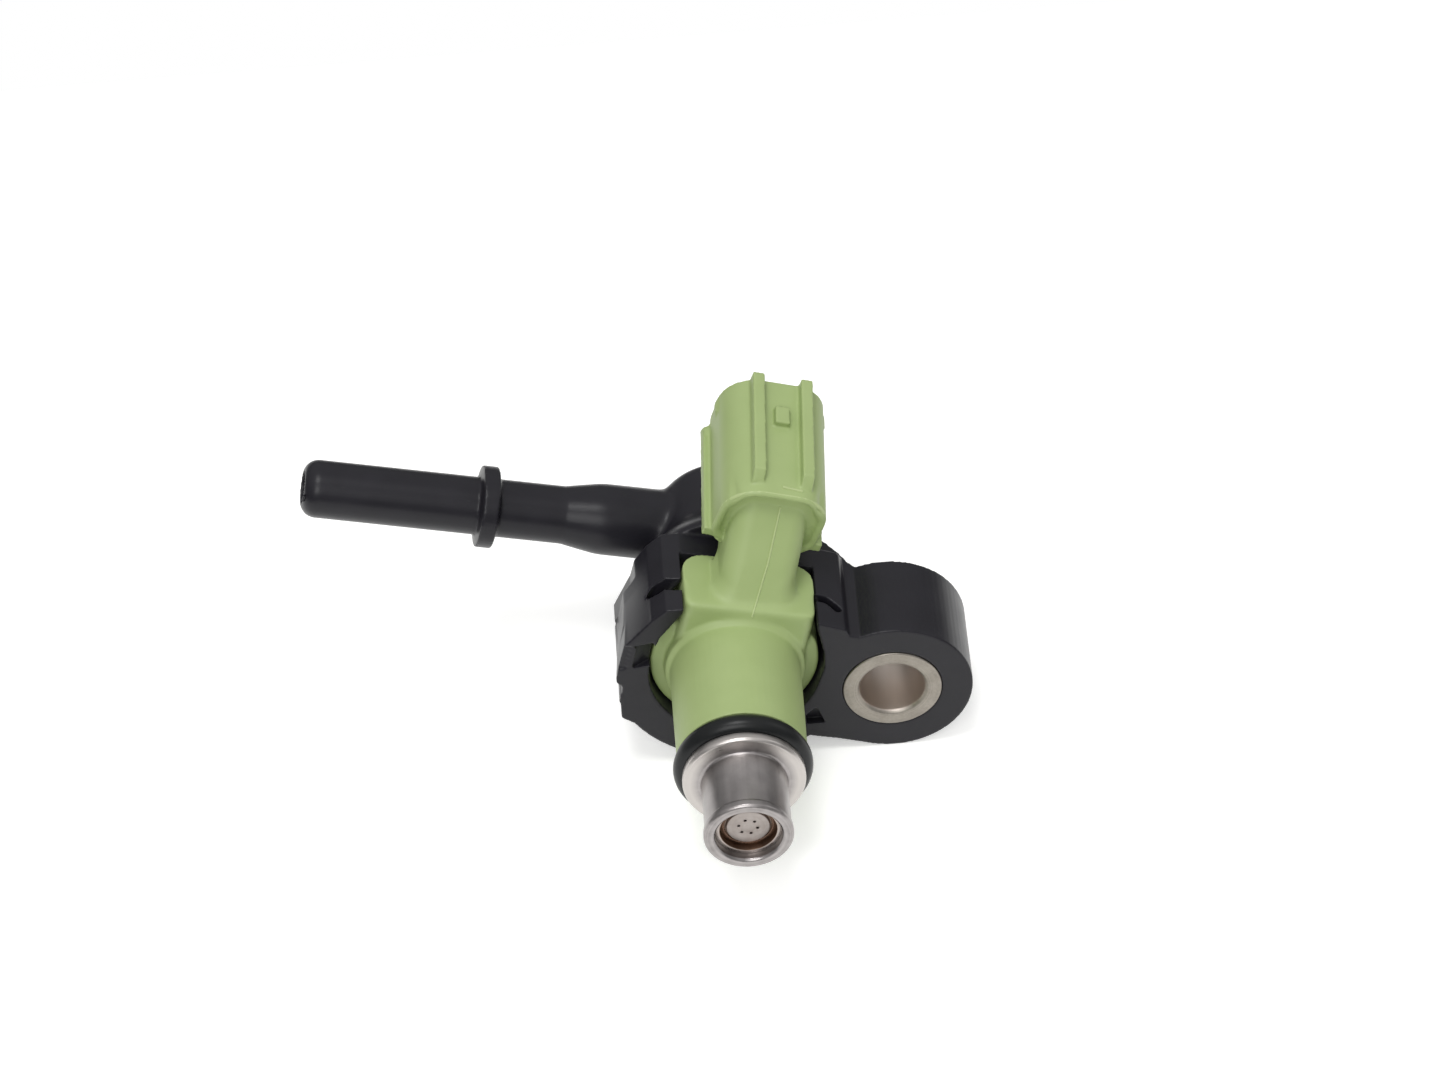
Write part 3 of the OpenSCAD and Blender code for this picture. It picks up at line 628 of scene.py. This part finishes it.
# The nib at the spigot's free end, where the runner was broken off after
# moulding: a short ridge of the joint's own black nylon, in steps of pixels.
nib_x, nib_y = image_points["spigot_nib"]
nib_r, nib_proud, nib_steps, nib_start, nib_lean, nib_pitch = 0.17, 0.05, 5, 1.6, 0.4, 1.2
joint_surface = meshes_under([joint])
nib_places = []
for step in range(nib_steps):
    x, y = nib_x + nib_start - nib_lean * step, nib_y + nib_pitch * (step - nib_steps // 2)
    place, normal = on_surface(x, y, joint_surface)
    nib_places.append(place + nib_proud / 1000 * normal)
nib = trim_bead(nib_places, nib_r, "spigot_nib", joint_material)


# ------------------------------------------------------------ the bolt collar
# The collar that takes the bolt's load in the ear: turned from mild steel and
# pressed in, with its edges broken.

# How large the clouds are and how deep the rings and streaks, in mm.
cloud_mm, scratch_deep = 2, 0.01


def turned_metal(name, pale, dark, rough, axis, ring_mm, streak_mm, tint_or_painted_light=None, band_from=0, band_to=0):
    """A metal with fine rings round an axis (x, z) on its faces, drawn streaks along the axis on its
    walls, and a faint cloud over both. A band between two radii, in mm, with soft edges, takes another
    colour: the oxide's tint on the seat and the plate, painted light on the collar and the tube.
    Tool rings and streaks of 0.05 mm are too fine to show, and are drawn as coarse as given."""
    material, tree = new_material(name)
    place = add_node(tree, "ShaderNodeTexCoord").outputs["Object"]
    centre = (axis[0], 0, axis[1])
    centred = add_node(tree, "ShaderNodeVectorMath", {0: place, 1: centre}, operation="SUBTRACT")
    flat = add_node(tree, "ShaderNodeVectorMath", {0: centred.outputs[0], 1: (1, 0, 1)}, operation="MULTIPLY")
    radius = add_node(tree, "ShaderNodeVectorMath", {0: flat.outputs[0]}, operation="LENGTH").outputs["Value"]
    rings = add_node(
        tree, "ShaderNodeTexNoise", {"W": radius, "Scale": 1000 / ring_mm}, noise_dimensions="1D"
    )
    drawn = add_node(tree, "ShaderNodeMapping", {"Vector": centred.outputs[0], "Scale": (1, 0.06, 1)})
    streaks = add_node(
        tree, "ShaderNodeTexNoise", {"Vector": drawn.outputs[0], "Scale": 1000 / streak_mm, "Detail": 4.0}
    )
    cloud = add_node(
        tree, "ShaderNodeTexNoise", {"Vector": centred.outputs[0], "Scale": 1000 / cloud_mm, "Detail": 3.0}
    )
    marks = add_node(
        tree,
        "ShaderNodeMix",
        {"Factor": 0.5, 2: rings.outputs["Fac"], 3: streaks.outputs["Fac"]},
        data_type="FLOAT",
    )
    worn = add_node(
        tree,
        "ShaderNodeMix",
        {"Factor": 0.35, 2: marks.outputs[0], 3: cloud.outputs["Fac"]},
        data_type="FLOAT",
    )
    spread = add_node(
        tree, "ShaderNodeMapRange", {"Value": worn.outputs[0], "From Min": 0.35, "From Max": 0.65}
    )
    tone = add_node(
        tree,
        "ShaderNodeMix",
        {"Factor": spread.outputs[0], 6: linear(dark), 7: linear(pale)},
        data_type="RGBA",
    ).outputs[2]
    if tint_or_painted_light:
        middle, half = (band_from + band_to) / 2000, (band_to - band_from) / 2000
        off = add_node(tree, "ShaderNodeMath", {0: radius, 1: middle}, operation="SUBTRACT")
        off = add_node(tree, "ShaderNodeMath", {0: off.outputs[0]}, operation="ABSOLUTE")
        inside = add_node(
            tree,
            "ShaderNodeMapRange",
            {"Value": off.outputs[0], "From Min": half, "From Max": half * 0.6, "To Max": 0.9},
        )
        tone = add_node(
            tree, "ShaderNodeMix", {"Factor": inside.outputs[0], 6: tone, 7: linear(tint_or_painted_light)}, data_type="RGBA"
        ).outputs[2]
    gloss = add_node(
        tree,
        "ShaderNodeMapRange",
        {
            "Value": marks.outputs[0],
            "From Min": 0.3,
            "From Max": 0.7,
            "To Min": rough - 0.07,
            "To Max": rough + 0.09,
        },
    )
    scratch = add_node(
        tree,
        "ShaderNodeBump",
        {"Height": marks.outputs[0], "Strength": 0.35, "Distance": scratch_deep / 1000},
    )
    metal = add_node(
        tree,
        "ShaderNodeBsdfPrincipled",
        {"Base Color": tone, "Metallic": 1.0, "Roughness": gloss.outputs[0], "Normal": scratch.outputs[0]},
    )
    add_node(tree, "ShaderNodeOutputMaterial", {"Surface": metal.outputs[0]})
    return material


# Edges that turn by more than this are broken.
sharp = math.radians(35)


def broken_edges(node, name, width):
    """A copy of a turned node whose sharp edges are broken by a narrow bevel, in mm."""
    piece = copy_of(node, name)
    finish_with(piece, "BEVEL", width=width / 1000, segments=2, limit_method="ANGLE", angle_limit=sharp)
    bpy.ops.object.shade_smooth_by_angle(angle=sharp)
    return piece


# Turned mild steel is warm grey: the turning tool leaves fine rings on its
# faces. The bore and its edge are painted paler: painted light in the bore,
# which little light reaches, and a painted highlight on the edge.
bore_r = 3.5
collar_material = turned_metal(
    "turned_mild_steel", "#A09A91", "#857F77", 0.42, ear_axis, ring_mm=0.12, streak_mm=0.3,
    tint_or_painted_light="#D0C5BC", band_from=2.9, band_to=bore_r + 0.16,
)
collar = broken_edges("bolt_collar", "steel_collar", 0.13)
stands_for(collar, "bolt_collar", collar_material)


# ---------------------------------------------------------------- the nozzle
# A stainless tube, drawn and ground, with the flange that holds the seal. Its
# tip is rolled inwards over the valve seat.

# Ground stainless shows streaks along the tube and rings on its flange. The
# flange's face is painted paler: painted light, where it mirrors dark parts.
nozzle_axis = (0, 0)
tube_material = turned_metal(
    "ground_stainless_tube", "#ABA6A5", "#898584", 0.33, nozzle_axis, ring_mm=0.25, streak_mm=0.9,
    tint_or_painted_light="#C2BDB9", band_from=4.9, band_to=9,
)
tube_r, corner_r, edge_share = 4.55, 0.3, 0.35
tube = copy_of("nozzle_holder", "nozzle_tube")
weights = tube.data.attributes.new("bevel_weight_edge", "FLOAT", "EDGE")
angles = bmesh.new()
angles.from_mesh(tube.data)
for edge in angles.edges:
    if len(edge.link_faces) == 2 and edge.calc_face_angle() > sharp:
        ends = [(math.hypot(v.co.x, v.co.z) * 1000, v.co.y * 1000) for v in edge.verts]
        corner = all(abs(r - tube_r) < 0.02 and abs(y) < 0.02 for r, y in ends)
        weights.data[edge.index].value = 1 if corner else edge_share
angles.free()
finish_with(tube, "BEVEL", width=corner_r / 1000, segments=3, limit_method="WEIGHT")
bpy.ops.object.shade_smooth_by_angle(angle=sharp)
stands_for(tube, "nozzle_holder", tube_material)

# The seat's rim and the plate with the six spray holes, both stainless and
# welded together by laser. Weld heat and fuel have browned them in a ring.
seat_material = turned_metal(
    "heat_tinted_stainless_seat", "#B3ABA6", "#8F8782", 0.3, nozzle_axis, ring_mm=0.2, streak_mm=0.6,
    tint_or_painted_light="#7A5C44", band_from=2.6, band_to=3.08,
)
seat = broken_edges("valve_seat", "seat_rim", 0.16)
stands_for(seat, "valve_seat", seat_material)
# The plate is etched: duller, and clean in its middle.
plate_material = turned_metal(
    "etched_stainless_plate", "#B0A9A5", "#938A85", 0.45, nozzle_axis, ring_mm=0.3, streak_mm=0.5,
    tint_or_painted_light="#654F3C", band_from=2.25, band_to=3.4,
)
plate = broken_edges("orifice_plate", "spray_plate", 0.05)
stands_for(plate, "orifice_plate", plate_material)

# The weld bead round the plate: small overlapping spots of a pulsed laser,
# in molten stainless that cooled with a dark brown oxide.
weld_r, weld_bead, weld_spots, weld_swell, weld_deep = 2.62, 0.13, 44, 0.018, 0.36
weld_material = turned_metal(
    "oxidised_laser_weld", "#8C7262", "#584439", 0.4, nozzle_axis, ring_mm=0.2, streak_mm=0.3
)
tip_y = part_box("orifice_plate")[0][1]
deselect_all()
bpy.ops.mesh.primitive_torus_add(
    major_radius=weld_r / 1000, minor_radius=weld_bead / 1000,
    major_segments=4 * weld_spots, minor_segments=10,
    location=(0, tip_y + weld_deep / 1000, 0), rotation=(math.pi / 2, 0, 0),
)
weld = bpy.context.object
weld.name = "plate_weld"
bpy.ops.object.transform_apply(location=True, rotation=True, scale=True)
for vertex in weld.data.vertices:
    turn = math.atan2(vertex.co.z, vertex.co.x)
    swell = 1 + weld_swell * math.cos(weld_spots * turn)
    vertex.co = (vertex.co.x * swell, vertex.co.y, vertex.co.z * swell)
bpy.ops.object.shade_smooth()
belongs(weld, weld_material)


# ------------------------------------------------------------------ the seals
# Two O-rings, moulded in black fluorocarbon rubber and stretched into their
# grooves, and the ring that backs the upper one, cut from PTFE.


def wear(material, *names):
    """Puts a material on CAD nodes whose shape is shown as it is."""
    for name in names:
        piece = bpy.data.objects[name]
        if not piece.material_slots:
            piece.data.materials.append(material)
        for slot in piece.material_slots:
            slot.material = material


# Fluorocarbon rubber is deep black with an oily sheen.
rubber_material = moulded_plastic(
    "moulded_black_rubber", "#101213", "#17191A",
    rough=0.34, sheen=0.25, grain_mm=0.3, flow_mm=2.5, relief=0.1,
)
wear(rubber_material, "lower_o_ring", "upper_o_ring")
# Cut PTFE is white and waxy.
ptfe_material = moulded_plastic(
    "cut_white_ptfe", "#E2DED4", "#EDEAE2",
    rough=0.45, sheen=0.4, grain_mm=0.2, flow_mm=2, relief=0.1,
)
wear(ptfe_material, "backup_ring")


# ------------------------------------------------------------------ the valve
# The parts that move, a needle tube with the ball welded to it and the
# armature that the coil pulls, with what guides and closes them.

# A lapped steel ball is mirror bright.
ball_material = turned_metal(
    "lapped_bearing_steel", "#D5D4D2", "#BDBCBA", 0.1, nozzle_axis, ring_mm=0.4, streak_mm=0.5
)
wear(ball_material, "valve_ball")
# Soft magnetic steel is ground: darker grey, with fine streaks.
magnet_material = turned_metal(
    "ground_soft_magnetic_steel", "#A8A7A8", "#868588", 0.33, nozzle_axis, ring_mm=0.2, streak_mm=0.5
)
wear(magnet_material, "armature", "valve_needle", "needle_guide", "pole_core", "coil_yoke", "yoke_washer")
# Spring wire is drawn through a die: dark, smooth and even.
spring_material = turned_metal(
    "drawn_spring_wire", "#8E8D8F", "#6C6B6E", 0.28, nozzle_axis, ring_mm=0.1, streak_mm=0.15
)
# The spring is wound from that wire, and has a mesh of its own.
spring = copy_of("return_spring", "closing_spring")
bpy.ops.object.shade_smooth_by_angle(angle=math.radians(60))
stands_for(spring, "return_spring", spring_material)
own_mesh(spring)
# Sleeves rolled from stainless strip are paler, with drawn streaks.
sleeve_material = turned_metal(
    "rolled_stainless_sleeve", "#B4B0AC", "#8F8B88", 0.3, nozzle_axis, ring_mm=0.2, streak_mm=0.4
)
wear(sleeve_material, "spring_adjuster", "isolating_ring")


# ------------------------------------------------------------------- the coil
# Copper wire wound on a moulded bobbin, each turn beside the next. The two
# terminals that leave it are stamped from brass strip.

# Enamel makes the copper glossy and reddish brown. Between the turns the bands are painted darker: painted
# shade in the grooves.
# Its 0.16 mm turns are too fine to show: the bands are tau times as coarse.
wire_mm, turn_deep = 0.16, 0.06
coil_material, tree = new_material("enamelled_copper_wire")
place = add_node(tree, "ShaderNodeTexCoord").outputs["Object"]
turns = add_node(
    tree,
    "ShaderNodeTexWave",
    {"Vector": place, "Scale": 1000 / wire_mm / 20, "Distortion": 0.15},
    bands_direction="Y",
)
tone = add_node(
    tree,
    "ShaderNodeMix",
    {"Factor": turns.outputs["Fac"], 6: linear("#6E3A1E"), 7: linear("#B8733F")},
    data_type="RGBA",
)
wound = add_node(
    tree, "ShaderNodeBump", {"Height": turns.outputs["Fac"], "Strength": 0.8, "Distance": turn_deep / 1000}
)
copper = add_node(
    tree,
    "ShaderNodeBsdfPrincipled",
    {"Base Color": tone.outputs[2], "Metallic": 1.0, "Roughness": 0.28, "Normal": wound.outputs[0]},
)
add_node(tree, "ShaderNodeOutputMaterial", {"Surface": copper.outputs[0]})
wear(coil_material, "coil_winding")
# Moulded polyamide, natural dark: matt, brownish black.
bobbin_material = moulded_plastic(
    "moulded_dark_polyamide", "#37332E", "#433E38",
    rough=0.5, sheen=0.4, grain_mm=0.15, flow_mm=2, relief=0.2,
)
wear(bobbin_material, "coil_bobbin")
# Tinned brass strip is pale and bright, with the roll's streaks.
terminal_material = turned_metal(
    "tinned_brass_strip", "#D2CBB4", "#B3A987", 0.3, nozzle_axis, ring_mm=0.3, streak_mm=0.4
)
wear(terminal_material, "terminal_left", "terminal_right")


# ----------------------------------------------------------- the inlet filter
# A fine woven stainless screen on a small moulded nylon frame, which is
# pressed into the inlet tube.

# Natural nylon is ivory and satin.
frame_material = moulded_plastic(
    "natural_nylon", "#D6CFBA", "#E0DAC8",
    rough=0.45, sheen=0.4, grain_mm=0.2, flow_mm=2, relief=0.15,
)
wear(frame_material, "filter_frame")
# The woven screen glints on its wires and is dark in its holes. Such a mesh
# is too fine to show: the bands are tau times as coarse as mesh_mm.
mesh_mm, wire_deep = 0.12, 0.04
screen_material, tree = new_material("woven_stainless_screen")
place = add_node(tree, "ShaderNodeTexCoord").outputs["Object"]
bands = {"Vector": place, "Scale": 1000 / mesh_mm / 20}
weft = add_node(tree, "ShaderNodeTexWave", bands, bands_direction="Y")
warp = add_node(tree, "ShaderNodeTexWave", bands, bands_direction="X")
cloth = add_node(
    tree, "ShaderNodeMath", {0: weft.outputs["Fac"], 1: warp.outputs["Fac"]}, operation="MAXIMUM"
)
tone = add_node(
    tree,
    "ShaderNodeMix",
    {"Factor": cloth.outputs[0], 6: linear("#4A4846"), 7: linear("#A9A5A1")},
    data_type="RGBA",
)
woven = add_node(
    tree, "ShaderNodeBump", {"Height": cloth.outputs[0], "Strength": 0.7, "Distance": wire_deep / 1000}
)
screen = add_node(
    tree,
    "ShaderNodeBsdfPrincipled",
    {"Base Color": tone.outputs[2], "Metallic": 1.0, "Roughness": 0.35, "Normal": woven.outputs[0]},
)
add_node(tree, "ShaderNodeOutputMaterial", {"Surface": screen.outputs[0]})
wear(screen_material, "filter_screen")


# ----------------------------------------------------------- the image points
# How far each named thing shows from its point, by the finished vertices that
# the camera sees.
dressed = [joint, body, seam, lip, mark, nib, collar, tube, seat, plate, weld, nodes["lower_o_ring"]]
all_surfaces = meshes_under(dressed)
eye = camera.matrix_world.translation


def shows_at(place):
    """Where a place in the scene shows in the photograph's frame."""
    seen = camera.matrix_world.inverted() @ Vector(place)
    scale = max(photo_w, photo_h) * camera.data.lens / camera.data.sensor_width / -seen.z
    return photo_w / 2 + seen.x * scale, photo_h / 2 - seen.y * scale


def is_seen(place):
    """Whether nothing stands between the camera and a place on a surface."""
    way = place - eye
    hit = all_surfaces.ray_cast(eye, way.normalized(), way.length - 0.0001)
    return hit[0] is None


def seen_places(piece, chosen=lambda x, y, z: True):
    """Where the chosen vertices of a piece show in the photograph, for those that do."""
    return [shows_at(v.co) for v in piece.data.vertices if chosen(*in_injector(v.co)) and is_seen(v.co)]


def outermost(pieces, axis, sign):
    """The furthest seen place of the pieces to one side of the photograph."""
    places = [v.co for piece in pieces for v in piece.data.vertices]
    far = sorted(((sign * shows_at(place)[axis], i) for i, place in enumerate(places)), reverse=True)
    for value, i in far:
        if is_seen(places[i]):
            return [value * sign if axis == 0 else None, value * sign if axis == 1 else None]


def middle_of(places):
    """The middle of what shows of a thing."""
    return [(min(p[a] for p in places) + max(p[a] for p in places)) / 2 for a in (0, 1)]


def on_the_shell(side, half_w, low, high):
    """Where what stands over the connector's top shows, in a band beside its middle and along it."""
    def chosen(x, y, z):
        up = x * math.sin(plug_turn) + y * math.cos(plug_turn) - plug_y
        across = x * math.cos(plug_turn) - y * math.sin(plug_turn)
        above = up * math.cos(plug_lean) + (z - plug_z) * math.sin(plug_lean)
        along = (z - plug_z) * math.cos(plug_lean) - up * math.sin(plug_lean)
        return abs(across - side) < half_w and above > plug_h / 2 + 0.15 and low < along < high
    return seen_places(body, chosen)


def lowest_of(places):
    """The end of a thing that shows lowest in the photograph."""
    low = max(p[1] for p in places)
    return [middle_of([p for p in places if p[1] > low - 1])[0], low]


# The spigot's height over the flange, what stands out of it, the flange's
# outside and the ribs' places, in mm.
spigot_z, bead_r, bead_from, flange_from, rib_half = 21.6, 4.2, -20, 6.2, 2.65
collar_front = max(in_injector(v.co)[2] for v in collar.data.vertices)
plate_front = max(in_injector(v.co)[2] for v in plate.data.vertices)
bead_places = seen_places(joint, lambda x, y, z: x < bead_from and math.hypot(y, z + spigot_z) > bead_r)
flange_places = seen_places(tube, lambda x, y, z: math.hypot(x, y) > flange_from)
seam_shown = seen_places(seam)
shown = {
    "left_end": outermost([joint, nib], 0, -1),
    "right_edge": outermost([joint], 0, 1),
    "top_edge": outermost([body], 1, -1),
    "bottom_edge": outermost([tube], 1, 1),
    "collar_centre": middle_of(seen_places(collar, lambda x, y, z: z > collar_front - 0.1)),
    "spray_disc_centre": middle_of(seen_places(plate, lambda x, y, z: z > plate_front - 0.1)),
    "bead_top": middle_of([p for p in bead_places if p[1] < min(q[1] for q in bead_places) + 1]),
    "metal_flange_top": list(min(flange_places, key=lambda p: p[1])),
    "left_rib_end": lowest_of(on_the_shell(-rib_half, 0.6, -6, 0)),
    "right_rib_end": lowest_of(on_the_shell(rib_half, 0.6, -6, 0)),
    "latch_boss": middle_of(on_the_shell(0, 1.6, -14, -8)),
    "seam_low": max(seam_shown, key=lambda p: p[1]),
    "seam_middle": min(seam_shown, key=lambda p: abs(p[1] - image_points["seam_middle"][1])),
    "seam_high": min(seam_shown, key=lambda p: p[1]),
    "shell_mark": middle_of(seen_places(mark)),
    "spigot_nib": middle_of(seen_places(nib)),
}
for name, points in image_points.items():
    pairs = zip(points, shown[name])
    [None if point is None else round(place - point, 2) for point, place in pairs]
